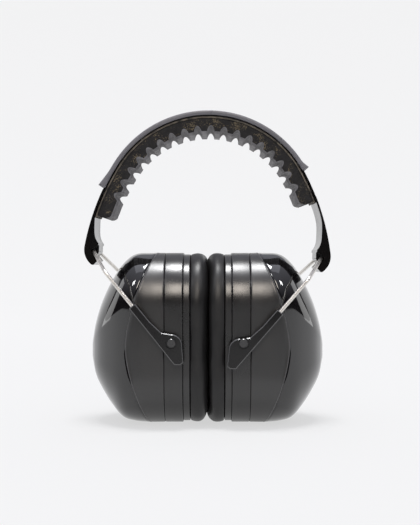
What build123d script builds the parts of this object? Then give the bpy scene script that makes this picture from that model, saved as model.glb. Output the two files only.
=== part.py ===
from build123d import *
import os
from math import asin, atan2, cos, degrees, hypot, radians, sin

# Earmuff hearing protector, standing on its two cups. Millimetres.
# X runs from one cup to the other, +Y away from the front, +Z up.
# The origin is at the middle of the base.

# ---- driving dimensions -------------------------------------------------------------
# headband: a crown arc, then a flatter arc down each side. The reference curve is the
# outer face of the spring and of the arms.
BAND_X = 0.65               # middle of the crown arc
BAND_Z = 137.2
BAND_LEAN = 1.83            # the band leans this many degrees towards +X
CROWN_R = 74.1
CROWN_END = 60.0            # degrees from the top, where the side arc takes over
SIDE_R = 162.0
BAND_WIDTH = 36.0
COVER_OVER = 2.1            # the cover stands this far outside the reference curve
COVER_LIP = 0.9             # and its side lips reach this far inside it
COVER_LEFT, COVER_RIGHT = 66.3, 59.5    # where its mouths are: it sits off centre
MOUTH_FLARE = 2.0
MOUTH_LENGTH = 4.5          # degrees of the band
MOUTH_ROOT = 0.3            # the flare starts this far under the cover's outer face
SPRING_SPLIT = 0.3          # degrees from the top, where each half of the spring ends
SPRING_T = 1.9
SPRING_WIDTH = 33.0
SPRING_END = 56.0
SPRING_GAP = 0.15           # clearance around the spring inside the cover
BACKING_T = 0.9
PAD_T = 12.2
PAD_LEFT, PAD_RIGHT = 73.2, 67.7
BACKING_PROUD = 0.4         # degrees that the backing shows past the pad
PAD_WIDTH = 34.0

# arms and the pivot of the wire
ARM_TOP = 56.4
ARM_END = 81.0
ARM_TONGUE_END = 66.8       # up to here the arm is a tongue inside the cover
ARM_TOP_T = 1.2
ARM_MID_T = 1.9
ARM_LOW_T = 6.0
PIVOT_X, PIVOT_Z = 78.0, -22.5   # in the band's own frame, from the crown arc's middle
BARREL_R = 3.3
BARREL_WIDTH = 25.0
HOOK_BACK = 3.4             # from the pivot in to the hook's inner face
HOOK_LIP = 0.5              # from the pivot in to the hook's lower edge
HOOK_DROP = 9.4             # from the pivot down to the hook's foot
STOP_FROM, STOP_TO = 0.5, 7.0    # along the wire, where it rests on the stop
LEG_ROOM = 3.6              # across the wire, beside the barrel
WIRE_R = 1.25
RUN = 0.05                  # radial clearance of a running fit
STOP_GAP = 0.3

# wire yoke
CROSSBAR = 30.0             # between the legs' centre lines
LEG_Y = 47.6
SPLAY_END = 18.0            # along the wire from the crossbar
WIRE_BEND = 4.0
WIRE_LENGTH = 74.0

# clips, measured along the wire from the crossbar and across it
CLIP_TOP = 46.4
CLIP_TIP = 96.0
CLIP_EDGE = 2.5
CLIP_T = 5.4
CLIP_BEVEL = 0.6
CHANNEL_END = 93.0
PIN_OFF = 4.8
PIN_SHAFT_R = 1.6
PIN_HEAD_R = 2.85
PIN_HEAD_T = 1.2
PIN_RECESS_R = 3.75
PIN_HEAD_PROUD = 0.3
PIN_BEVEL = 0.4
PIN_DEPTH = 6.5             # of the shaft inside the cup ring
BOSS_R = 4.2                # boss in the ring that takes the shaft
BOSS_LENGTH = 8.0

# cups: distances from the middle plane between them, outwards
PIN_X, PIN_Z = 23.6, 56.9
CUP_HEIGHT = 116.0
CUP_DEPTH = 88.0
CUP_CORNER = 34.0
CUSHION_FACE = 0.3
CUSHION_BACK = 11.6
PLATE_BACK = 16.3
RING_BACK = 28.5
RIM_WALL = 4.0
RIM_STEP = 1.2              # each cup piece stands this far inside the one behind it
WALL = 2.6
FIT = 0.05
EAR_HOLE_W, EAR_HOLE_H = 40.0, 66.0
PLATE_LEDGE = 3.0           # the plate's hole is this much larger than the cushion's
CUSHION_ROUND = 4.6

# cup shell sections: distance out, bottom, top, depth, corner radius
SHELL = [
    (40.0, 0.0, 116.0, 88.0, 34.0),
    (50.0, 0.8, 115.0, 84.5, 33.0),
    (58.0, 3.2, 109.0, 76.0, 31.0),
    (66.0, 11.5, 97.5, 61.0, 27.0),
    (73.0, 22.0, 83.0, 43.0, 20.0),
    (77.5, 31.0, 69.0, 25.0, 12.0),
    (79.8, 41.0, 57.0, 10.0, 4.9),
]
HOLLOW_IN, HOLLOW_ROUND = 0.6, 1.3    # of the wall, from the shell's outside to its hollow
INSERT_IN = 34.0            # acoustic foam, from here out
INSERT_GAP = 1.0            # between the shell's wall and the foam
SHEET_T = 1.5

os.makedirs("parts", exist_ok=True)
SIDES = {"left": -1, "right": 1}
ENDS = {"front": -1, "rear": 1}

# ---- the band's own frame -----------------------------------------------------------
lean = radians(BAND_LEAN)
band_plane = Plane(origin=(BAND_X, 0, BAND_Z), x_dir=(cos(lean), 0, -sin(lean)), z_dir=(0, -1, 0))
side_centre = (
    (CROWN_R - SIDE_R) * sin(radians(CROWN_END)),
    (CROWN_R - SIDE_R) * cos(radians(CROWN_END)),
)


def band_point(side, angle, out):
    """A point of the band's curve, `out` outside the reference curve."""
    a = radians(angle)
    if angle <= CROWN_END:
        x, z = (CROWN_R + out) * sin(a), (CROWN_R + out) * cos(a)
    else:
        x = side_centre[0] + (SIDE_R + out) * sin(a)
        z = side_centre[1] + (SIDE_R + out) * cos(a)
    return side * x, z


def band_curve(left, right, out):
    """The curve from `left` degrees to `right` degrees, negative angles on the left."""
    stops = [left] + [a for a in (-CROWN_END, CROWN_END) if left < a < right] + [right]
    for a, b in zip(stops, stops[1:]):
        middle = (a + b) / 2
        ThreePointArc(*[band_point(-1 if t < 0 else 1, abs(t), out) for t in (a, middle, b)])


def band_strip(left, right, inside, outside):
    """The face between two offsets of the curve, closed by straight ends."""
    with BuildLine() as outline:
        band_curve(left, right, outside)
        band_curve(left, right, inside)
        for t in (left, right):
            side = -1 if t < 0 else 1
            Line(band_point(side, abs(t), inside), band_point(side, abs(t), outside))
    make_face(outline.edges())


# ---- headband -----------------------------------------------------------------------
with BuildPart() as cover:
    with BuildSketch(band_plane):
        band_strip(-COVER_LEFT, COVER_RIGHT, -COVER_LIP, COVER_OVER)
        for side, end in ((-1, COVER_LEFT), (1, COVER_RIGHT)):
            with BuildLine():
                Polyline(
                    band_point(side, end - MOUTH_LENGTH, COVER_OVER - MOUTH_ROOT),
                    band_point(side, end, COVER_OVER + MOUTH_FLARE),
                    band_point(side, end, COVER_OVER - MOUTH_ROOT),
                    close=True,
                )
            make_face()
    extrude(amount=BAND_WIDTH / 2, both=True)
    with BuildSketch(band_plane):
        band_strip(-COVER_LEFT - 2, COVER_RIGHT + 2, -COVER_LIP - 1, SPRING_GAP)
    extrude(amount=SPRING_WIDTH / 2 + 2 * SPRING_GAP, both=True, mode=Mode.SUBTRACT)
cover.part.label = "headband_cover"
export_step(cover.part, "parts/headband_cover.step")

backing_out = -SPRING_T - 2 * FIT
with BuildPart() as backing:
    with BuildSketch(band_plane):
        band_strip(-PAD_LEFT - BACKING_PROUD, PAD_RIGHT + BACKING_PROUD,
                   backing_out - BACKING_T, backing_out)
    extrude(amount=PAD_WIDTH / 2, both=True)
backing.part.label = "headband_pad_backing"
export_step(backing.part, "parts/headband_pad_backing.step")

pad_out = backing_out - BACKING_T - FIT
with BuildPart() as pad:
    with BuildSketch(band_plane):
        band_strip(-PAD_LEFT, PAD_RIGHT, pad_out - PAD_T, pad_out)
    extrude(amount=PAD_WIDTH / 2, both=True)
pad.part.label = "headband_pad"
export_step(pad.part, "parts/headband_pad.step")

# ---- one side: spring half, arm, yoke, clips, pins, cup -----------------------------
pivots = {}
for name, side in SIDES.items():
    pivot = band_plane.from_local_coords((side * PIVOT_X, PIVOT_Z, 0))
    pin_x = side * PIN_X
    reach = hypot(pin_x - pivot.X, PIN_Z - pivot.Z)
    fall = atan2(abs(pin_x - pivot.X), pivot.Z - PIN_Z) - asin(PIN_OFF / reach)
    pin_along = (reach ** 2 - PIN_OFF ** 2) ** 0.5
    wire_dir = Vector(-side * sin(fall), 0, -cos(fall))
    # X down the wire, Y towards the head side of it
    wire_plane = Plane(origin=pivot, x_dir=wire_dir, z_dir=(0, side, 0))
    pivots[name] = {"pivot": pivot, "fall": degrees(fall), "pin_along": pin_along}

    with BuildPart() as spring:
        with BuildSketch(band_plane):
            ends = sorted((side * SPRING_SPLIT, side * SPRING_END))
            band_strip(ends[0], ends[1], -SPRING_T, 0)
        extrude(amount=SPRING_WIDTH / 2, both=True)
    spring.part.label = f"{name}_band_spring"
    export_step(spring.part, f"parts/{name}_band_spring.step")

    # the arm's outer face follows the reference curve; its foot is a hook whose inner
    # face is the stop of the wire
    to_local = band_plane.to_local_coords
    stop_high = to_local(wire_plane.from_local_coords((STOP_FROM, -WIRE_R - STOP_GAP, 0)))
    stop_low = to_local(wire_plane.from_local_coords((STOP_TO, -WIRE_R - STOP_GAP, 0)))
    with BuildPart() as arm:
        with BuildSketch(band_plane) as arm_profile:
            with BuildLine():
                join = (ARM_TOP + CROWN_END) / 2
                outer = [band_point(side, t, 0) for t in (ARM_END, 71.0, CROWN_END, join, ARM_TOP)]
                ThreePointArc(*outer[:3])
                ThreePointArc(*outer[2:])
                middle = (CROWN_END + ARM_TONGUE_END) / 2
                tongue = [band_point(side, t, -ARM_TOP_T)
                          for t in (ARM_TOP, join, CROWN_END, middle, ARM_TONGUE_END)]
                Line(outer[-1], tongue[0])
                ThreePointArc(*tongue[:3])
                ThreePointArc(*tongue[2:])
                inner = [
                    tongue[-1],
                    band_point(side, 70.5, -ARM_TOP_T - 0.2),
                    band_point(side, 73.4, -ARM_MID_T),
                    band_point(side, 76.0, -3.6),
                    band_point(side, 78.6, -ARM_LOW_T),
                    (side * (PIVOT_X - HOOK_BACK), PIVOT_Z + 5.6),
                ]
                Spline(*inner)
                Polyline(
                    inner[-1],
                    (side * (PIVOT_X - HOOK_BACK), PIVOT_Z),
                    (side * (PIVOT_X - HOOK_LIP), PIVOT_Z - 1.0),
                    (stop_high.X, stop_high.Y),
                    (stop_low.X, stop_low.Y),
                    (side * (PIVOT_X - HOOK_LIP), PIVOT_Z - HOOK_DROP),
                )
                toe = (side * (PIVOT_X + 0.7), PIVOT_Z - HOOK_DROP)
                Line((side * (PIVOT_X - HOOK_LIP), PIVOT_Z - HOOK_DROP), toe)
                ThreePointArc(toe, (side * (PIVOT_X + 4.8), PIVOT_Z - 4.6), outer[0])
            make_face()
        extrude(amount=BAND_WIDTH / 2, both=True)
        with BuildSketch(band_plane):
            ends = sorted((side * (ARM_TOP - 2), side * ARM_TONGUE_END))
            band_strip(ends[0], ends[1], -2 * ARM_MID_T, ARM_MID_T)
        # inside the cover the tongue is as narrow as the spring
        beyond = extrude(amount=BAND_WIDTH, both=True, mode=Mode.PRIVATE)
        with BuildSketch(band_plane):
            ends = sorted((side * (ARM_TOP - 3), side * (ARM_TONGUE_END + 1)))
            band_strip(ends[0], ends[1], -3 * ARM_MID_T, 2 * ARM_MID_T)
        between = extrude(amount=SPRING_WIDTH / 2, both=True, mode=Mode.PRIVATE)
        add(beyond - between, mode=Mode.SUBTRACT)
        # the legs of the wire need room beside the barrel when they swing in
        for y_side in (-1, 1):
            room = Plane(
                origin=pivot + Vector(0, y_side * (BARREL_WIDTH + BAND_WIDTH) / 4, 0),
                x_dir=wire_dir,
                z_dir=(0, side, 0),
            )
            with BuildSketch(room):
                with BuildLine():
                    low, high = -WIRE_R - STOP_GAP, LEG_ROOM
                    Polyline(
                        (12, low), (0, low), (-1.1, -1.1), (low, 0), (low, high),
                        (0.5, 9.5), (12, 9.5), close=True,
                    )
                make_face()
            extrude(amount=(BAND_WIDTH - BARREL_WIDTH) / 4 + 0.01, both=True, mode=Mode.SUBTRACT)
        with BuildSketch(Plane(origin=pivot, x_dir=wire_dir, z_dir=(0, side, 0))):
            Circle(BARREL_R)
        extrude(amount=BARREL_WIDTH / 2, both=True)
        with BuildSketch(Plane(origin=pivot, x_dir=wire_dir, z_dir=(0, side, 0))):
            Circle(WIRE_R + RUN)
        extrude(amount=BAND_WIDTH, both=True, mode=Mode.SUBTRACT)
    arm.part.label = f"{name}_band_arm"
    export_step(arm.part, f"parts/{name}_band_arm.step")

    # bent wire: leg, crossbar, leg
    def wire_point(along, y):
        return pivot + wire_dir * along + Vector(0, y, 0)

    with BuildPart() as yoke:
        with BuildLine():
            route = FilletPolyline(
                wire_point(WIRE_LENGTH, -LEG_Y),
                wire_point(SPLAY_END, -LEG_Y),
                wire_point(0, -CROSSBAR / 2),
                wire_point(0, CROSSBAR / 2),
                wire_point(SPLAY_END, LEG_Y),
                wire_point(WIRE_LENGTH, LEG_Y),
                radius=WIRE_BEND,
            )
        with BuildSketch(Plane(origin=route @ 0, z_dir=route % 0)):
            Circle(WIRE_R)
        sweep()
    yoke.part.label = f"{name}_wire_yoke"
    export_step(yoke.part, f"parts/{name}_wire_yoke.step")

    for end, y_side in ENDS.items():
        leg_plane = Plane(
            origin=pivot + Vector(0, y_side * LEG_Y, 0), x_dir=wire_dir, z_dir=(0, side, 0))
        pin_at = Vector(pin_x, y_side * (LEG_Y + CLIP_T / 2), PIN_Z)
        into_cup = Plane(origin=pin_at, x_dir=(1, 0, 0), z_dir=(0, -y_side, 0))
        with BuildPart() as clip:
            with BuildSketch(leg_plane):
                with BuildLine():
                    Polyline(
                        (CLIP_TOP, -CLIP_EDGE), (CLIP_TOP, CLIP_EDGE), (61.0, CLIP_EDGE + 0.1),
                        (72.0, CLIP_EDGE + 1.6), (76.6, 8.4),
                    )
                    ThreePointArc((76.6, 8.4), (81.4, 11.0), (87.0, 9.2))
                    Polyline((87.0, 9.2), (CLIP_TIP, 3.0), (CLIP_TIP - 0.2, 0.4),
                             (CLIP_TIP - 2.6, -CLIP_EDGE), (CLIP_TOP, -CLIP_EDGE))
                make_face()
            extrude(amount=CLIP_T / 2, both=True)
            outer_face = clip.faces().sort_by(Axis.Y)[0 if y_side < 0 else -1]
            chamfer(outer_face.edges(), CLIP_BEVEL)
            with BuildSketch(Plane(origin=leg_plane.from_local_coords((CHANNEL_END, 0, 0)),
                                   z_dir=-wire_dir)):
                Circle(WIRE_R + RUN)
            extrude(amount=CHANNEL_END - CLIP_TOP + 1, mode=Mode.SUBTRACT)
            with BuildSketch(into_cup):
                Circle(PIN_RECESS_R)
            extrude(amount=PIN_HEAD_T, mode=Mode.SUBTRACT)
            with BuildSketch(into_cup):
                Circle(PIN_SHAFT_R + RUN)
            extrude(amount=CLIP_T + 1, mode=Mode.SUBTRACT)
        clip.part.label = f"{name}_{end}_clip"
        export_step(clip.part, f"parts/{name}_{end}_clip.step")

        with BuildPart() as pin:
            with BuildSketch(into_cup):
                Circle(PIN_SHAFT_R)
            extrude(amount=CLIP_T + 0.4 + PIN_DEPTH)
            with BuildSketch(into_cup.offset(-PIN_HEAD_PROUD)):
                Circle(PIN_HEAD_R)
            extrude(amount=PIN_HEAD_T + PIN_HEAD_PROUD - FIT)
            chamfer(pin.edges().sort_by(Axis.Y)[0 if y_side < 0 else -1], PIN_BEVEL)
        pin.part.label = f"{name}_{end}_pin"
        export_step(pin.part, f"parts/{name}_{end}_pin.step")

    # cup: every section is a rounded rectangle in a YZ plane
    def section(out, bottom, top, depth, corner):
        plane = Plane(origin=(side * out, 0, (bottom + top) / 2), x_dir=(0, 1, 0), z_dir=(side, 0, 0))
        with BuildSketch(plane) as face:
            RectangleRounded(depth, top - bottom, corner)
        return face.sketch

    def cup_slice(inner, outer_x, inset, corner):
        """A plate of the cup's outline between two distances out."""
        with BuildSketch(Plane(origin=(side * inner, 0, CUP_HEIGHT / 2), x_dir=(0, 1, 0),
                               z_dir=(side, 0, 0))) as outline:
            RectangleRounded(CUP_DEPTH - 2 * inset, CUP_HEIGHT - 2 * inset, corner)
        extrude(outline.sketch, amount=outer_x - inner)

    with BuildPart() as hollow:
        inside = []
        step = HOLLOW_ROUND * WALL
        for out, bottom, top, depth, corner in SHELL[:-2]:
            inside.append(section(out - HOLLOW_IN * WALL, bottom + step, top - step,
                                  depth - 2 * step, corner - step))
        loft(inside)
        cup_slice(RING_BACK - 1, SHELL[0][0] - HOLLOW_IN * WALL + 0.01, step, CUP_CORNER - step)
    with BuildPart() as shell:
        cup_slice(RING_BACK + FIT, SHELL[0][0], 0, CUP_CORNER)
        loft([section(*row) for row in SHELL])
        add(hollow.part, mode=Mode.SUBTRACT)
    shell.part.label = f"{name}_cup_shell"
    export_step(shell.part, f"parts/{name}_cup_shell.step")

    with BuildPart() as insert:
        soft = []
        gap = WALL + INSERT_GAP
        for out, bottom, top, depth, corner in [SHELL[0]] + SHELL[2:5]:
            x = max(out - gap, INSERT_IN)
            soft.append(section(x, bottom + 2 * gap, top - 2 * gap, depth - 4 * gap,
                                max(corner - 2 * gap, 2.0)))
        loft(soft)
    insert.part.label = f"{name}_acoustic_foam"
    export_step(insert.part, f"parts/{name}_acoustic_foam.step")

    with BuildPart() as ring:
        cup_slice(PLATE_BACK + FIT, RING_BACK, 0, CUP_CORNER)
        with BuildSketch(Plane(origin=(side * PLATE_BACK, 0, CUP_HEIGHT / 2), x_dir=(0, 1, 0),
                               z_dir=(side, 0, 0))):
            RectangleRounded(CUP_DEPTH - 2 * RIM_WALL, CUP_HEIGHT - 2 * RIM_WALL,
                             CUP_CORNER - RIM_WALL)
        extrude(amount=RING_BACK - PLATE_BACK + 1, mode=Mode.SUBTRACT)
        for y_side in ENDS.values():
            with BuildSketch(Plane(origin=(pin_x, y_side * (CUP_DEPTH / 2 - 1), PIN_Z),
                                   x_dir=(1, 0, 0), z_dir=(0, -y_side, 0))):
                Circle(BOSS_R)
            extrude(amount=BOSS_LENGTH)
            with BuildSketch(Plane(origin=(pin_x, y_side * (CUP_DEPTH / 2 + 1), PIN_Z),
                                   x_dir=(1, 0, 0), z_dir=(0, -y_side, 0))):
                Circle(PIN_SHAFT_R + RUN)
            extrude(amount=BOSS_LENGTH + 0.4, mode=Mode.SUBTRACT)
    ring.part.label = f"{name}_cup_ring"
    export_step(ring.part, f"parts/{name}_cup_ring.step")

    with BuildPart() as plate:
        cup_slice(CUSHION_BACK + FIT, PLATE_BACK, RIM_STEP, CUP_CORNER - RIM_STEP)
        with BuildSketch(Plane(origin=(side * CUSHION_BACK, 0, CUP_HEIGHT / 2), x_dir=(0, 1, 0),
                               z_dir=(side, 0, 0))):
            hole_w = EAR_HOLE_W + 2 * PLATE_LEDGE
            RectangleRounded(hole_w, EAR_HOLE_H + 2 * PLATE_LEDGE, hole_w / 2 - 0.5)
        extrude(amount=PLATE_BACK - CUSHION_BACK + 1, mode=Mode.SUBTRACT)
    plate.part.label = f"{name}_cushion_plate"
    export_step(plate.part, f"parts/{name}_cushion_plate.step")

    with BuildPart() as sheet:
        with BuildSketch(Plane(origin=(side * (RING_BACK - SHEET_T), 0, CUP_HEIGHT / 2),
                               x_dir=(0, 1, 0), z_dir=(side, 0, 0))):
            RectangleRounded(CUP_DEPTH - 2 * RIM_WALL - 2 * FIT, CUP_HEIGHT - 2 * RIM_WALL - 2 * FIT,
                             CUP_CORNER - RIM_WALL)
            for y_side in ENDS.values():
                with Locations((y_side * (CUP_DEPTH / 2 - RIM_WALL), side * (PIN_Z - CUP_HEIGHT / 2))):
                    Rectangle(BOSS_R * 2.9, BOSS_R * 2.4, mode=Mode.SUBTRACT)
        extrude(amount=SHEET_T)
    sheet.part.label = f"{name}_ear_cloth"
    export_step(sheet.part, f"parts/{name}_ear_cloth.step")

    with BuildPart() as cushion:
        cup_slice(CUSHION_FACE, CUSHION_BACK, RIM_STEP, CUP_CORNER - RIM_STEP)
        with BuildSketch(Plane(origin=(side * (CUSHION_FACE - 1), 0, CUP_HEIGHT / 2),
                               x_dir=(0, 1, 0), z_dir=(side, 0, 0))):
            RectangleRounded(EAR_HOLE_W, EAR_HOLE_H, EAR_HOLE_W / 2 - 0.5)
        extrude(amount=CUSHION_BACK - CUSHION_FACE + 2, mode=Mode.SUBTRACT)
        face = cushion.faces().filter_by(Axis.X).sort_by(Axis.X)[-1 if side < 0 else 0]
        fillet(face.edges(), CUSHION_ROUND)
    cushion.part.label = f"{name}_ear_cushion"
    export_step(cushion.part, f"parts/{name}_ear_cushion.step")

for name, place in pivots.items():
    print(f"{name} wire pivot at {place['pivot']}, wire {place['fall']:.2f} degrees from upright")
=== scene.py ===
import bmesh
import bpy
from math import cos, pi, radians, sin
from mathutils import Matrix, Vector, noise


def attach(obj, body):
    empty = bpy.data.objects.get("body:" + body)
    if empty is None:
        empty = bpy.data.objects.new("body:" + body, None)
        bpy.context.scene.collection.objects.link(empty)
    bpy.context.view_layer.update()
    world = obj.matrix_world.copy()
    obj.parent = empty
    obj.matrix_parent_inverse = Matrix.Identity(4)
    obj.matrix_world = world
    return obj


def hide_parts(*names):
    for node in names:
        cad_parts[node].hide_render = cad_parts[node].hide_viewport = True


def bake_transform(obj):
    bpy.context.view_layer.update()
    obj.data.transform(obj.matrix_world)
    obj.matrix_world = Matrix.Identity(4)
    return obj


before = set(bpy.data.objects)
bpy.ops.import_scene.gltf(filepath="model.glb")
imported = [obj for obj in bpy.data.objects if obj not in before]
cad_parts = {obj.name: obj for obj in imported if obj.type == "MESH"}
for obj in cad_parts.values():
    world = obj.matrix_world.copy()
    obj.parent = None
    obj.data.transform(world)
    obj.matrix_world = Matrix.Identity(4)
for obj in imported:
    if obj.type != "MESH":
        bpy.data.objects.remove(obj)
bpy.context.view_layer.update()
MM = 0.001
SIDES = {"left": -1, "right": 1}

# ---- the band's curve, in its own leaning frame, millimetres --------------------------
BAND_X, BAND_Z = 0.65, 137.2
LEAN = radians(1.83)
CROWN_R, SIDE_R, CROWN_END = 74.1, 162.0, 60.0
COVER_ENDS = (-66.3, 59.5)
PAD_ENDS = (-73.2, 67.7)
BLEND_SPLIT = 40.0          # degrees from the crown, where one length of a band layer meets the next
BLEND_END = 58.0
CUP_HEIGHT, CUP_DEPTH, CUP_CORNER = 116.0, 88.0, 34.0
EAR_WIDTH, EAR_HEIGHT, EAR_CORNER = 40.0, 66.0, 19.5


# ---- materials ------------------------------------------------------------------------
def material(name, colour, rough, specular=0.5, coat=0.0, metallic=0.0, sheen=0.0):
    mat = bpy.data.materials.new(name)
    mat.use_nodes = True
    nodes, links = mat.node_tree.nodes, mat.node_tree.links
    shader = nodes["Principled BSDF"]
    shader.inputs["Base Color"].default_value = (*colour, 1)
    shader.inputs["Roughness"].default_value = rough
    shader.inputs["Specular IOR Level"].default_value = specular
    shader.inputs["Coat Weight"].default_value = coat
    shader.inputs["Coat Roughness"].default_value = 0.04
    shader.inputs["Metallic"].default_value = metallic
    shader.inputs["Sheen Weight"].default_value = sheen
    shader.inputs["Sheen Roughness"].default_value = 0.6
    coords = nodes.new("ShaderNodeTexCoord")
    return mat, nodes, links, shader, coords


def noise_node(nodes, links, coords, scale, detail=3.0, stretch=None):
    texture = nodes.new("ShaderNodeTexNoise")
    texture.inputs["Scale"].default_value = scale
    texture.inputs["Detail"].default_value = detail
    if stretch:
        mapping = nodes.new("ShaderNodeMapping")
        mapping.inputs["Scale"].default_value = stretch
        links.new(coords.outputs["Object"], mapping.inputs["Vector"])
        links.new(mapping.outputs["Vector"], texture.inputs["Vector"])
    else:
        links.new(coords.outputs["Object"], texture.inputs["Vector"])
    return texture


def vary(nodes, links, factor, low, high, socket):
    """Drives a socket between two values or two colours by a texture."""
    ramp = nodes.new("ShaderNodeValToRGB")
    ramp.color_ramp.elements[0].position = 0.3
    ramp.color_ramp.elements[1].position = 0.7
    low = low if isinstance(low, tuple) else (low,) * 3
    high = high if isinstance(high, tuple) else (high,) * 3
    ramp.color_ramp.elements[0].color = (*low, 1)
    ramp.color_ramp.elements[1].color = (*high, 1)
    links.new(factor, ramp.inputs["Fac"])
    links.new(ramp.outputs["Color"], socket)


def bump(nodes, links, factor, shader, strength, distance):
    node = nodes.new("ShaderNodeBump")
    node.inputs["Strength"].default_value = strength
    node.inputs["Distance"].default_value = distance
    links.new(factor, node.inputs["Height"])
    links.new(node.outputs["Normal"], shader.inputs["Normal"])


def plastic(name, colour, rough, coat=0.0, grain=1800.0, depth=0.00004, spread=0.06,
            specular=0.5):
    """Moulded plastic: fine surface grain and slow changes of gloss and colour."""
    mat, nodes, links, shader, coords = material(name, colour, rough, specular, coat=coat)
    fine = noise_node(nodes, links, coords, grain, 2.0)
    slow = noise_node(nodes, links, coords, 38.0, 4.0)
    vary(nodes, links, slow.outputs["Fac"], max(rough - spread, 0.02), rough + spread,
         shader.inputs["Roughness"])
    vary(nodes, links, slow.outputs["Fac"], colour, tuple(c * 1.25 for c in colour),
         shader.inputs["Base Color"])
    bump(nodes, links, fine.outputs["Fac"], shader, 0.35, depth)
    return mat


def painted_bevel_highlight(mat, pale):
    """Painted highlight on bevels: paler where a face slopes away from the front and from the
    sides.
    """
    nodes, links = mat.node_tree.nodes, mat.node_tree.links
    shader = nodes["Principled BSDF"]
    base = shader.inputs["Base Color"].links[0].from_socket
    split = nodes.new("ShaderNodeSeparateXYZ")
    links.new(nodes.new("ShaderNodeNewGeometry").outputs["True Normal"], split.inputs[0])
    slope = nodes.new("ShaderNodeMath")
    slope.operation = "ABSOLUTE"
    links.new(split.outputs["Y"], slope.inputs[0])
    band = nodes.new("ShaderNodeMath")
    band.operation = "COMPARE"
    band.inputs[1].default_value = 0.7
    band.inputs[2].default_value = 0.2
    links.new(slope.outputs[0], band.inputs[0])
    mix = nodes.new("ShaderNodeMix")
    mix.data_type = "RGBA"
    links.new(band.outputs[0], mix.inputs["Factor"])
    links.new(base, mix.inputs["A"])
    mix.inputs["B"].default_value = (*pale, 1)
    links.new(mix.outputs["Result"], shader.inputs["Base Color"])


def foam(name, colour, pale):
    """Open-cell foam: pores as dark cells, with a matt dusty bloom."""
    mat, nodes, links, shader, coords = material(name, colour, 0.8, specular=0.3, sheen=0.12)
    cells = nodes.new("ShaderNodeTexVoronoi")
    cells.inputs["Scale"].default_value = 1400.0
    links.new(coords.outputs["Object"], cells.inputs["Vector"])
    blotch = noise_node(nodes, links, coords, 260.0, 5.0)
    mix = nodes.new("ShaderNodeMath")
    mix.operation = "MULTIPLY"
    links.new(cells.outputs["Distance"], mix.inputs[0])
    links.new(blotch.outputs["Fac"], mix.inputs[1])
    vary(nodes, links, blotch.outputs["Fac"], colour, pale, shader.inputs["Base Color"])
    bump(nodes, links, mix.outputs["Value"], shader, 0.9, 0.0006)
    return mat


def speckled(mat, tint):
    """Loose pale fibres caught in the foam."""
    nodes, links = mat.node_tree.nodes, mat.node_tree.links
    shader = nodes["Principled BSDF"]
    base = shader.inputs["Base Color"].links[0].from_socket
    coords = nodes.new("ShaderNodeTexCoord")
    fine = noise_node(nodes, links, coords, 1500.0, 2.0)
    patch = noise_node(nodes, links, coords, 120.0, 3.0)
    both = nodes.new("ShaderNodeMath")
    both.operation = "MULTIPLY"
    links.new(fine.outputs["Fac"], both.inputs[0])
    links.new(patch.outputs["Fac"], both.inputs[1])
    spots = nodes.new("ShaderNodeMapRange")
    spots.inputs["From Min"].default_value = 0.30
    spots.inputs["From Max"].default_value = 0.40
    links.new(both.outputs[0], spots.inputs["Value"])
    mix = nodes.new("ShaderNodeMix")
    mix.data_type = "RGBA"
    links.new(spots.outputs["Result"], mix.inputs["Factor"])
    links.new(base, mix.inputs["A"])
    mix.inputs["B"].default_value = (*tint, 1)
    links.new(mix.outputs["Result"], shader.inputs["Base Color"])


def steel(name, colour, rough, along):
    """Drawn stainless: streaks along the wire."""
    mat, nodes, links, shader, coords = material(name, colour, rough, metallic=1.0)
    streak = noise_node(nodes, links, coords, 300.0, 3.0, stretch=along)
    vary(nodes, links, streak.outputs["Fac"], rough - 0.04, rough + 0.04,
         shader.inputs["Roughness"])
    vary(nodes, links, streak.outputs["Fac"], tuple(c * 0.82 for c in colour), colour,
         shader.inputs["Base Color"])
    bump(nodes, links, streak.outputs["Fac"], shader, 0.1, 0.00001)
    return mat


def soft_skin(name, colour):
    """Smooth plastic film over a soft core: faint creases and a satin gloss."""
    mat, nodes, links, shader, coords = material(name, colour, 0.42, specular=0.45)
    crease = noise_node(nodes, links, coords, 90.0, 6.0)
    grain = noise_node(nodes, links, coords, 1500.0, 2.0)
    add = nodes.new("ShaderNodeMath")
    add.operation = "MULTIPLY_ADD"
    add.inputs[1].default_value = 0.15
    links.new(grain.outputs["Fac"], add.inputs[0])
    links.new(crease.outputs["Fac"], add.inputs[2])
    vary(nodes, links, crease.outputs["Fac"], 0.34, 0.5, shader.inputs["Roughness"])
    vary(nodes, links, crease.outputs["Fac"], colour, tuple(c * 1.35 for c in colour),
         shader.inputs["Base Color"])
    bump(nodes, links, add.outputs["Value"], shader, 0.3, 0.0004)
    return mat


GLOSS = plastic("dome_gloss", (0.006, 0.0055, 0.006), 0.06, coat=0.5, grain=500.0,
                depth=0.000004, spread=0.02, specular=0.6)
SATIN = plastic("skirt_satin", (0.008, 0.0072, 0.0072), 0.33, grain=2200.0, depth=0.00002,
                specular=0.9)
RIM = plastic("rim_satin", (0.008, 0.0072, 0.0072), 0.3, grain=2200.0, depth=0.00002,
              specular=0.8)
# paler than the satin black, for the bead along the skirt's edge: a painted highlight
EDGE = plastic("skirt_edge_painted_highlight", (0.09, 0.088, 0.09), 0.3, grain=2200.0, depth=0.00002)
COVER = plastic("cover_grey", (0.19, 0.184, 0.2), 0.42, grain=1300.0, depth=0.00008)
ARM = plastic("arm_black", (0.008, 0.007, 0.0065), 0.16, specular=0.4, grain=1500.0,
              depth=0.00003)
CLIP = plastic("clip_black", (0.006, 0.0055, 0.0055), 0.2, specular=0.45, grain=1500.0,
               depth=0.00002)
# the clip's bevels get a paler colour: a painted highlight
painted_bevel_highlight(CLIP, (0.11, 0.108, 0.11))
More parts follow.
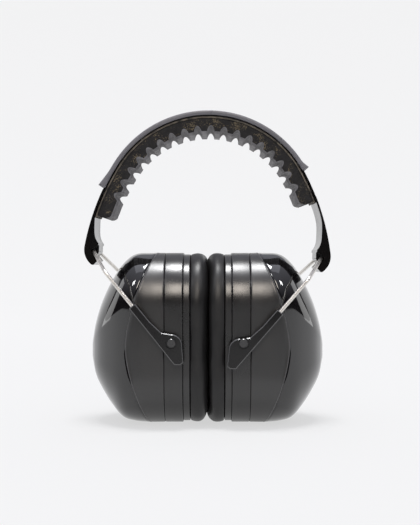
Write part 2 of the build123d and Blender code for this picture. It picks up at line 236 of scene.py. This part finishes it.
# a lighter black than the clip: the gloss coat is real, the lighter colour is a painted highlight
# on the domed head
PIN = plastic("pin_black", (0.035, 0.034, 0.034), 0.2, coat=0.5)
PAD = foam("pad_foam", (0.0085, 0.0075, 0.0078), (0.022, 0.020, 0.020))
speckled(PAD, (0.22, 0.17, 0.10))
# a much paler copy of the dark pad foam for its head-side faces: painted light
PAD_PAINTED_LIGHT = foam("pad_foam_painted_light", (0.15, 0.145, 0.15), (0.30, 0.29, 0.30))
INNER = foam("inner_foam", (0.045, 0.045, 0.047), (0.07, 0.07, 0.072))
BACKING = foam("backing_felt", (0.025, 0.022, 0.02), (0.30, 0.25, 0.19))
SKIN = soft_skin("cushion_skin", (0.009, 0.0085, 0.0088))
WIRE = steel("wire_steel", (0.78, 0.75, 0.71), 0.34, (1.0, 1.0, 0.12))


# ---- mesh helpers ---------------------------------------------------------------------
def new_piece(name, verts, faces, mat, smooth=True):
    mesh = bpy.data.meshes.new(name)
    mesh.from_pydata([tuple(c * MM for c in v) for v in verts], [], faces)
    mesh.validate()
    mesh.materials.append(mat)
    for polygon in mesh.polygons:
        polygon.use_smooth = smooth
    piece = bpy.data.objects.new(name, mesh)
    bpy.context.scene.collection.objects.link(piece)
    return piece


def grid_faces(rows, cols, wrap_rows, wrap_cols):
    faces = []
    for i in range(rows if wrap_rows else rows - 1):
        for j in range(cols if wrap_cols else cols - 1):
            a, b = i * cols + j, i * cols + (j + 1) % cols
            c, d = ((i + 1) % rows) * cols + (j + 1) % cols, ((i + 1) % rows) * cols + j
            faces.append((a, b, c, d))
    return faces


def outward(piece):
    """Turns every face outwards."""
    work = bmesh.new()
    work.from_mesh(piece.data)
    bmesh.ops.recalc_face_normals(work, faces=work.faces)
    work.to_mesh(piece.data)
    work.free()


def outline_point(width, height, corner, share):
    """A point round a rounded rectangle, `share` of the way from the middle of one side,
    with its outward direction: (y, z, ny, nz)."""
    w, h, r = width / 2 - corner, height / 2 - corner, corner
    lengths = [h, r * pi / 2, 2 * w, r * pi / 2, 2 * h, r * pi / 2, 2 * w, r * pi / 2, h]
    s = sum(lengths) * share
    leg = 0
    while leg < 8 and s > lengths[leg]:
        s -= lengths[leg]
        leg += 1
    if leg in (1, 3, 5, 7):
        a = (leg - 1) / 2 * pi / 2 + s / r
        cy = w if leg in (1, 7) else -w
        cz = h if leg in (1, 3) else -h
        y, z = cy + r * cos(a), cz + r * sin(a)
    elif leg == 0:
        y, z, a = width / 2, s, 0.0
    elif leg == 2:
        y, z, a = w - s, height / 2, pi / 2
    elif leg == 4:
        y, z, a = -width / 2, h - s, pi
    elif leg == 6:
        y, z, a = -w + s, -height / 2, 1.5 * pi
    else:
        y, z, a = width / 2, -h + s, 0.0
    return y, z, cos(a), sin(a)


def rounded_outline(width, height, corner, count=128):
    return [outline_point(width, height, corner, k / count) for k in range(count)]


RIM_LINE = rounded_outline(CUP_DEPTH, CUP_HEIGHT, CUP_CORNER)
EAR_LINE = rounded_outline(EAR_WIDTH, EAR_HEIGHT, EAR_CORNER)
MID_Z = CUP_HEIGHT / 2


def rim_piece(name, side, profile, mat):
    """A ring round the cup. The profile is (distance out, inset from the cup's outline)."""
    verts = []
    for y, z, ny, nz in RIM_LINE:
        for out, inset in profile:
            verts.append((side * out, y - inset * ny, MID_Z + z - inset * nz))
    faces = grid_faces(len(RIM_LINE), len(profile), True, True)
    piece = new_piece(name, verts, faces, mat)
    outward(piece)
    return piece


def arc_profile(corners, radius, steps=4):
    """A closed profile with its corners rounded."""
    rounded = []
    count = len(corners)
    for k in range(count):
        here = Vector(corners[k])
        before = (Vector(corners[k - 1]) - here)
        after = (Vector(corners[(k + 1) % count]) - here)
        r = min(radius, before.length * 0.45, after.length * 0.45)
        a, b = here + before.normalized() * r, here + after.normalized() * r
        for i in range(steps + 1):
            t = i / steps
            rounded.append(tuple((1 - t) ** 2 * a + 2 * t * (1 - t) * here + t * t * b))
    return rounded


# ---- cups -----------------------------------------------------------------------------
# dome sections: distance out, bottom, top, depth, corner radius
DOME = [
    (28.5, 0.0, 116.0, 88.0, 34.0),
    (40.0, 0.0, 116.0, 88.0, 34.0),
    (50.0, 0.8, 115.0, 84.5, 33.0),
    (58.0, 3.2, 109.0, 76.0, 31.0),
    (66.0, 11.5, 97.5, 61.0, 27.0),
    (73.0, 22.0, 83.0, 43.0, 20.0),
    (77.5, 31.0, 69.0, 25.0, 12.0),
    (79.8, 41.0, 57.0, 10.0, 4.9),
]
APEX_OUT = DOME[-1][0]
APEX_BOTTOM, APEX_TOP = DOME[-1][1:3]
SEAM = 28.55                # where the skirt meets the middle ring
WALL = 2.2
DOME_ROWS = 30
SKIRT_STEPS = 9
INSIDE_CUP = (40.0, 55.0)   # a point inside the cup: distance out, height
RING_IN, RING_OUT, RING_WALL = 16.35, 28.5, 3.6
LIP_IN, LIP_OUT, LIP_INSET, LIP_DEPTH = 11.7, 16.3, 1.0, 6.5
CUSHION_INSET = 1.2
EDGE_MID_Z, EDGE_OUT, EDGE_DROP = 54.0, 54.5, 20.0
EDGE_REACH = 62.0           # height over which the edge drops by EDGE_DROP


def dome_edge(z):
    """How far out the skirt meets the dome: deep at mid height, short at top and bottom."""
    t = (z - EDGE_MID_Z) / EDGE_REACH
    return EDGE_OUT - EDGE_DROP * abs(t) ** 1.7


def dome_section(out):
    """The dome's section at a distance out, by a smooth curve through the rows."""
    k = max(i for i in range(len(DOME) - 1) if DOME[i][0] <= out or i == 0)
    before, here, there, after = (
        DOME[max(k - 1, 0)], DOME[k], DOME[k + 1], DOME[min(k + 2, len(DOME) - 1)])
    span = there[0] - here[0]
    t = (out - here[0]) / span
    values = []
    for c in range(1, 5):
        rise_a = (there[c] - before[c]) / (there[0] - before[0]) * span
        rise_b = (after[c] - here[c]) / (after[0] - here[0]) * span
        if k == 1:
            rise_a = 0.0
        values.append(
            here[c] * (2 * t ** 3 - 3 * t ** 2 + 1) + rise_a * (t ** 3 - 2 * t ** 2 + t)
            + there[c] * (3 * t ** 2 - 2 * t ** 3) + rise_b * (t ** 3 - t ** 2))
    return values


def dome_point(index, count, s):
    """A point of the dome on the way from the skirt's edge (s=0) to the apex (s=1)."""
    share = index / count
    edge = dome_edge(MID_Z + outline_point(CUP_DEPTH, CUP_HEIGHT, CUP_CORNER, share)[1])
    out = edge + (APEX_OUT - edge) * (1 - (1 - s) ** 1.5)
    bottom, top, depth, corner = dome_section(min(out, APEX_OUT - 1e-6))
    y, z, _, _ = outline_point(depth, top - bottom, min(corner, depth / 2 - 0.05), share)
    return out, y, (bottom + top) / 2 + z


def build_shell(name, side):
    """Skirt and dome, each a closed shell with a real wall."""
    verts, cols = [], len(RIM_LINE)
    for k in range(DOME_ROWS + 1):
        for j in range(cols):
            x, y, z = dome_point(j, cols, k / DOME_ROWS)
            verts.append((side * x, y, z))
    faces = grid_faces(DOME_ROWS + 1, cols, False, True)
    verts.append((side * (APEX_OUT + 0.1), 0, (APEX_BOTTOM + APEX_TOP) / 2))
    last = DOME_ROWS * cols
    for j in range(cols):
        faces.append((last + j, last + (j + 1) % cols, len(verts) - 1))
    dome = new_piece(f"{name}_cup_dome", verts, faces, GLOSS)
    outward(dome)
    inside = Vector((side * INSIDE_CUP[0] * MM, 0, INSIDE_CUP[1] * MM))
    first = dome.data.polygons[0]
    if first.normal.dot(first.center - inside) < 0:
        dome.data.flip_normals()
    solid = dome.modifiers.new("wall", "SOLIDIFY")
    solid.thickness = WALL * MM
    solid.offset = -1
    # the skirt runs from the seam to the dome's edge, with a small step down into the seam
    verts = []
    count = len(RIM_LINE)
    for j in range(count):
        z_rim = RIM_LINE[j][1] + MID_Z
        edge = dome_edge(z_rim)
        outer = [(SEAM, 0.5), (SEAM + 0.35, 0.15), (SEAM + 0.8, 0.0)]
        outer += [(SEAM + (edge - SEAM) * k / SKIRT_STEPS, 0.0) for k in range(1, SKIRT_STEPS)]
        bead = [(edge - 0.75, 0.0), (edge - 0.6, -0.14), (edge - 0.35, -0.2),
                (edge - 0.1, -0.14), (edge - 0.02, 0.1)]
        inner = [(edge - 0.02, WALL), (SEAM + 2.0, WALL), (SEAM, WALL)]
        for out, inset in outer + bead + inner:
            bottom, top, depth, corner = dome_section(out)
            y, z, ny, nz = outline_point(depth, top - bottom, corner, j / count)
            verts.append((side * out, y - inset * ny, (bottom + top) / 2 + z - inset * nz))
    cols = len(outer) + len(bead) + len(inner)
    faces = grid_faces(count, cols, True, True)
    skirt = new_piece(f"{name}_cup_skirt", verts, faces, SATIN)
    # the bead's faces take the paler edge material: a painted highlight along the edge
    skirt.data.materials.append(EDGE)
    for index, polygon in enumerate(skirt.data.polygons):
        if len(outer) <= index % cols < len(outer) + len(bead) - 2:
            polygon.material_index = 1
    outward(skirt)
    for piece in (skirt, dome):
        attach(piece, f"{name}_cup")
    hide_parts(f"{name}_cup_shell")


def shared_wave(y, z):
    """Both cushion faces meet along this one slightly wavy surface."""
    return 1.1 * sin(y / 6.5) + 0.5 * noise.noise(Vector((y * 0.04, z * 0.06, 2.0)))


def build_cushion(name, side):
    """A soft ring: bulged outside, round at the face, dipping into the ear hole."""
    # (distance out, share of the way from the outline to the ear hole, outward bulge)
    profile = [
        (11.6, 0.02, 0.0), (11.2, 0.0, 0.1), (10.2, 0.0, 0.55), (8.4, 0.0, 1.0),
        (6.4, 0.0, 1.15), (4.4, 0.0, 0.9), (2.9, 0.01, 0.1), (1.7, 0.06, 0.0),
        (0.7, 0.14, 0.0), (0.2, 0.26, 0.0), (0.13, 0.42, 0.0), (0.22, 0.58, 0.0),
        (1.1, 0.73, 0.0), (2.3, 0.86, 0.0), (4.2, 0.95, 0.0), (6.8, 0.99, 0.0),
        (9.6, 1.0, 0.0), (11.6, 1.0, 0.0),
    ]
    verts = []
    for outer, hole in zip(RIM_LINE, EAR_LINE):
        y, z, ny, nz = outer
        y, z = y - CUSHION_INSET * ny, z - CUSHION_INSET * nz
        for out, share, bulge in profile:
            py = y + (hole[0] - y) * share + bulge * ny
            pz = z + (hole[1] - z) * share + bulge * nz
            pucker = noise.noise(Vector((py * 0.09, pz * 0.09, side * 7.0 + out * 0.05)))
            soft = 0.35 * pucker * min(1.0, (out - 0.3) / 3.0) * (1 if out < 11 else 0)
            meet = shared_wave(py, pz) * max(0.0, 1 - out / 9.0)
            verts.append((side * (out + soft) + meet, py + soft * ny, MID_Z + pz + soft * nz))
    faces = grid_faces(len(RIM_LINE), len(profile), True, True)
    cushion = new_piece(f"{name}_cushion_ring", verts, faces, SKIN)
    outward(cushion)
    smooth = cushion.modifiers.new("round", "SUBSURF")
    smooth.levels = smooth.render_levels = 1
    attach(cushion, f"{name}_cup")
    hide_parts(f"{name}_ear_cushion")


def build_rims(name, side):
    """The middle ring and the thin lip that holds the cushion."""
    ring_profile = [(RING_IN, 0.0), (RING_OUT, 0.0), (RING_OUT, RING_WALL), (RING_IN, RING_WALL)]
    lip_profile = [
        (LIP_IN, LIP_INSET), (LIP_OUT, LIP_INSET), (LIP_OUT, LIP_DEPTH), (LIP_IN, LIP_DEPTH)]
    ring = rim_piece(f"{name}_middle_ring", side, arc_profile(ring_profile, 0.7), RIM)
    lip = rim_piece(f"{name}_cushion_lip", side, arc_profile(lip_profile, 0.6), RIM)
    for piece, node in ((ring, "cup_ring"), (lip, "cushion_plate")):
        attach(piece, f"{name}_cup")
        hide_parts(f"{name}_{node}")


for name, side in SIDES.items():
    build_shell(name, side)
    build_cushion(name, side)
    build_rims(name, side)


# ---- headband layers ------------------------------------------------------------------
side_centre = (
    (CROWN_R - SIDE_R) * sin(radians(CROWN_END)),
    (CROWN_R - SIDE_R) * cos(radians(CROWN_END)),
)


def band_point(angle, out):
    """A point of the band's curve in the row frame, `out` from it: (x, z).
    Negative angles are the left side."""
    side = -1 if angle < 0 else 1
    a = radians(abs(angle))
    if abs(angle) <= CROWN_END:
        x, z = (CROWN_R + out) * sin(a), (CROWN_R + out) * cos(a)
    else:
        x = side_centre[0] + (SIDE_R + out) * sin(a)
        z = side_centre[1] + (SIDE_R + out) * cos(a)
    x *= side
    return BAND_X + x * cos(LEAN) + z * sin(LEAN), BAND_Z - x * sin(LEAN) + z * cos(LEAN)


INSIDE_FACES = 7            # a section starts with its two corners on the head side
STRIP_END = 56.0            # degrees from the crown where the sprung strip ends


def band_layer(label, ends, section_at, mat, replaced, step=0.5,
               inside=None):
    """A layer of the band in four lengths, cut at the crown and at BLEND_SPLIT degrees each side.
    section_at(angle) gives the closed section as (y, out) points. The faces towards the
    head may have a second material, `inside`. `replaced` names the CAD node that a
    length stands in for, by the length's number from the left."""
    cuts = [ends[0], -BLEND_SPLIT, 0.0, BLEND_SPLIT, ends[1]]
    names = ["left_end", "left_crown", "right_crown", "right_end"]
    for k, part in enumerate(names):
        low, high = cuts[k], cuts[k + 1]
        count = max(2, round((high - low) / step))
        angles = [low + (high - low) * i / count for i in range(count + 1)]
        verts, cols = [], 0
        for angle in angles:
            ring = section_at(angle)
            cols = len(ring)
            for y, out in ring:
                x, z = band_point(angle, out)
                verts.append((x, y, z))
        faces = grid_faces(len(angles), cols, False, True)
        faces.append(tuple(range(cols)))
        faces.append(tuple(range(len(verts) - cols, len(verts))))
        piece = new_piece(f"{label}_{part}", verts, faces, mat)
        # the head-side faces take the second material; on the foam pad it is a paler copy of the
        # foam, painted light
        if inside:
            piece.data.materials.append(inside)
            for index, polygon in enumerate(piece.data.polygons):
                if index % cols < INSIDE_FACES and index < cols * count:
                    polygon.material_index = 1
        outward(piece)
        sign = -1 if k < 2 else 1
        ends_deg = (0.0, BLEND_SPLIT) if "crown" in part else (BLEND_SPLIT, BLEND_END)
        start, end = (band_point(sign * d if d else sign * 0.001, 0) for d in ends_deg)
        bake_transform(piece)
        if replaced.get(k):
            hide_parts(replaced[k])


def rounded_section(half, low, high, radius, steps=3):
    corners = [(-half, low), (half, low), (half, high), (-half, high)]
    return arc_profile(corners, radius, steps)


COVER_HALF, COVER_LOW, COVER_HIGH = 18.0, -0.9, 2.1
FLARE, FLARE_LENGTH = 2.0, 4.5      # rise in millimetres, length in degrees


def cover_section(angle):
    """The grey sleeve, thicker where its mouths flare."""
    from_end = min(angle - COVER_ENDS[0], COVER_ENDS[1] - angle)
    flare = FLARE * max(0.0, 1 - from_end / FLARE_LENGTH) ** 1.4
    return rounded_section(COVER_HALF, COVER_LOW, COVER_HIGH + flare, 1.1)


RIB_PITCH = 10.6            # along the reference curve
PLAIN_LEFT, PLAIN_RIGHT = 13.0, 9.0
RIB_DEPTH = 3.9
GROOVE_HALF = 0.29          # half the groove's width, as a share of the pitch
PAD_HALF, PAD_BACK, PAD_T = 17.0, -2.9, 11.2
BACKING_HALF, BACKING_HIGH = 17.1, -1.98
STRIP_HALF, STRIP_LOW = 16.5, -1.9


def along(angle):
    """Length along the reference curve from the crown."""
    side = -1 if angle < 0 else 1
    a = abs(angle)
    return side * (CROWN_R * radians(min(a, CROWN_END)) + SIDE_R * radians(max(a - CROWN_END, 0)))


def pad_section(angle):
    """Corrugated foam: grooves across the band and a plain block at each end."""
    here = along(angle)
    first, last = along(PAD_ENDS[0]) + PLAIN_LEFT, along(PAD_ENDS[1]) - PLAIN_RIGHT
    pitch = (last - first) / round((last - first) / RIB_PITCH)
    valley = 0.0
    if first < here < last:
        phase = (here - first) / pitch % 1.0
        off = abs(phase - 0.5) / GROOVE_HALF
        valley = cos(off * pi / 2) ** 0.7 if off < 1 else 0.0
    from_end = min(here - along(PAD_ENDS[0]), along(PAD_ENDS[1]) - here)
    round_end = 3.0 * max(0.0, 1 - from_end / 3.2) ** 2
    crown = 0.35 * noise.noise(Vector((here * 0.16, 1.7, 0)))
    depth = PAD_T - RIB_DEPTH * valley * (1 + 0.4 * crown) - round_end - 0.3 + 0.5 * crown
    ring = rounded_section(PAD_HALF, PAD_BACK - depth, PAD_BACK, 1.7)
    wobble = 0.25 * noise.noise(Vector((angle * 0.35, 3.1, 0)))
    return [(y + wobble * (1 if y > 0 else -1), out) for y, out in ring]


def backing_section(angle):
    fuzz = 0.25 * noise.noise(Vector((angle * 1.9, 0, 0)))
    return rounded_section(BACKING_HALF + fuzz, PAD_BACK, BACKING_HIGH, 0.3)


def spring_section(angle):
    return rounded_section(STRIP_HALF, STRIP_LOW, 0.0, 0.4)


band_layer("grey_cover", COVER_ENDS, cover_section, COVER, {1: "headband_cover"})
band_layer("foam_pad", PAD_ENDS, pad_section, PAD, {1: "headband_pad"},
           step=0.25, inside=PAD_PAINTED_LIGHT)
band_layer("pad_felt", (PAD_ENDS[0] - 0.5, PAD_ENDS[1] + 0.5), backing_section, BACKING,
           {1: "headband_pad_backing"})
band_layer("band_strip", (-STRIP_END, STRIP_END), spring_section, ARM,
           {1: "left_band_spring", 2: "right_band_spring"}, step=2.0)

# ---- carried-over CAD nodes -------------------------------------------------------------
FINISH = {
    "band_arm": ARM, "wire_yoke": WIRE, "front_clip": CLIP, "rear_clip": CLIP, "front_pin": PIN,
    "rear_pin": PIN, "cup_shell": GLOSS, "cup_ring": RIM, "cushion_plate": RIM,
    "ear_cushion": SKIN, "acoustic_foam": INNER, "ear_cloth": INNER, "band_spring": ARM,
    "headband_cover": COVER, "headband_pad": PAD, "headband_pad_backing": BACKING,
}
for node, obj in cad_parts.items():
    kind = node.split("_", 1)[1] if node.split("_")[0] in SIDES else node
    obj.data.materials.clear()
    obj.data.materials.append(FINISH[kind])

# ---- stage, light and camera --------------------------------------------------------------
# a sweep in metres: level from FLOOR_FRONT to FLOOR_BACK, then a quarter turn upwards
FLOOR_FRONT, FLOOR_BACK, SWEEP_R, FLOOR_HALF = -1.1, 1.0, 1.6, 4.0
FLOOR_STEPS = 32
FLOOR_DROP = 0.0002         # just under the cups
floor_mesh = bpy.data.meshes.new("floor")
rows = []
for k in range(FLOOR_STEPS + 1):
    t = k / FLOOR_STEPS
    if t < 0.5:
        rows.append((FLOOR_FRONT + 2 * (FLOOR_BACK - FLOOR_FRONT) * t, 0.0))
    else:
        a = (t - 0.5) * pi
        rows.append((FLOOR_BACK + SWEEP_R * sin(a), SWEEP_R - SWEEP_R * cos(a)))
floor_verts = [(x, y, z - FLOOR_DROP) for y, z in rows for x in (-FLOOR_HALF, FLOOR_HALF)]
floor_mesh.from_pydata(floor_verts, [], grid_faces(len(rows), 2, False, False))
for polygon in floor_mesh.polygons:
    polygon.use_smooth = True
FLOOR_WHITE, FLOOR_TINT, SUN = 0.79, 0.24, 2.2
floor_mat, floor_nodes, floor_links, floor_shader, _ = material(
    "floor_pale", (FLOOR_TINT,) * 3, 0.8, specular=0.0)
floor_shader.inputs["Emission Color"].default_value = (1, 1, 1, 1)
# the level part is lit by the sun and the upright part is not, so the glow makes up for it
facing = floor_nodes.new("ShaderNodeSeparateXYZ")
floor_links.new(floor_nodes.new("ShaderNodeNewGeometry").outputs["Normal"], facing.inputs[0])
upward = floor_nodes.new("ShaderNodeMath")
upward.operation = "ABSOLUTE"
floor_links.new(facing.outputs["Z"], upward.inputs[0])
glow = floor_nodes.new("ShaderNodeMath")
glow.operation = "MULTIPLY_ADD"
glow.inputs[1].default_value = -FLOOR_TINT * SUN / pi
glow.inputs[2].default_value = FLOOR_WHITE
floor_links.new(upward.outputs[0], glow.inputs[0])
floor_links.new(glow.outputs[0], floor_shader.inputs["Emission Strength"])
floor_mesh.materials.append(floor_mat)
floor = bpy.data.objects.new("floor", floor_mesh)
bpy.context.scene.collection.objects.link(floor)

world = bpy.data.worlds.new("studio")
world.use_nodes = True
# a dark room, cooler and brighter overhead
sky = world.node_tree
up = sky.nodes.new("ShaderNodeSeparateXYZ")
sky.links.new(sky.nodes.new("ShaderNodeTexCoord").outputs["Generated"], up.inputs[0])
shade = sky.nodes.new("ShaderNodeValToRGB")
shade.color_ramp.elements[0].position = 0.15
shade.color_ramp.elements[0].color = (0.03, 0.027, 0.03, 1)
shade.color_ramp.elements[1].position = 0.95
shade.color_ramp.elements[1].color = (0.72, 0.73, 0.82, 1)
sky.links.new(up.outputs["Z"], shade.inputs["Fac"])
sky.links.new(shade.outputs["Color"], sky.nodes["Background"].inputs["Color"])
bpy.context.scene.world = world


def aimed(name, data, place, aim):
    lamp = bpy.data.objects.new(name, data)
    lamp.location = place
    lamp.rotation_euler = (Vector(aim) - Vector(place)).to_track_quat("-Z", "Y").to_euler()
    bpy.context.scene.collection.objects.link(lamp)
    return lamp


def soft_light(name, place, size, glow, colour=(1, 1, 1)):
    """A softbox that only shows as a reflection. Its glow is its brightness."""
    data = bpy.data.lights.new(name, "AREA")
    data.shape = "RECTANGLE"
    data.size, data.size_y = size
    data.energy = glow * size[0] * size[1] * pi
    data.color = colour
    aimed(name, data, place, CENTRE).visible_diffuse = False


CENTRE = (0, 0, 0.09)
sun = bpy.data.lights.new("sun", "SUN")
sun.energy = SUN
sun.angle = radians(16)
aimed("sun", sun, (0, 0, 2), (0, 0, 0))
soft_light("front_warm", (0, -1.35, 0.95), (0.6, 0.6), 9.5, (1.0, 0.91, 0.81))
soft_light("overhead", (0, 0.1, 1.5), (1.6, 0.9), 0.9, (0.9, 0.91, 1.0))
for name, side in SIDES.items():
    for k in (0, 1):
        soft_light(f"{name}_window_{k}", (side * (0.86 + 0.16 * k), -0.72, 1.05), (0.05, 0.24), 30)
    soft_light(f"{name}_wall", (side * 1.6, 0.5, 0.35), (0.5, 1.1), 1.5)

CAMERA_X, CAMERA_BACK, CAMERA_Z = 1.7, 700.0, 109.4
LENS, FILM_HEIGHT, FILM_WIDTH = 68.57, 36.0, 28.8
camera_data = bpy.data.cameras.new("camera")
camera_data.sensor_fit = "VERTICAL"
camera_data.sensor_height = FILM_HEIGHT
camera_data.sensor_width = FILM_WIDTH
camera_data.lens = LENS
camera = bpy.data.objects.new("camera", camera_data)
camera.location = (CAMERA_X * MM, -CAMERA_BACK * MM, CAMERA_Z * MM)
camera.rotation_euler = (pi / 2, 0, 0)
bpy.context.scene.collection.objects.link(camera)
bpy.context.scene.camera = camera
bpy.context.scene.view_settings.view_transform = "Standard"
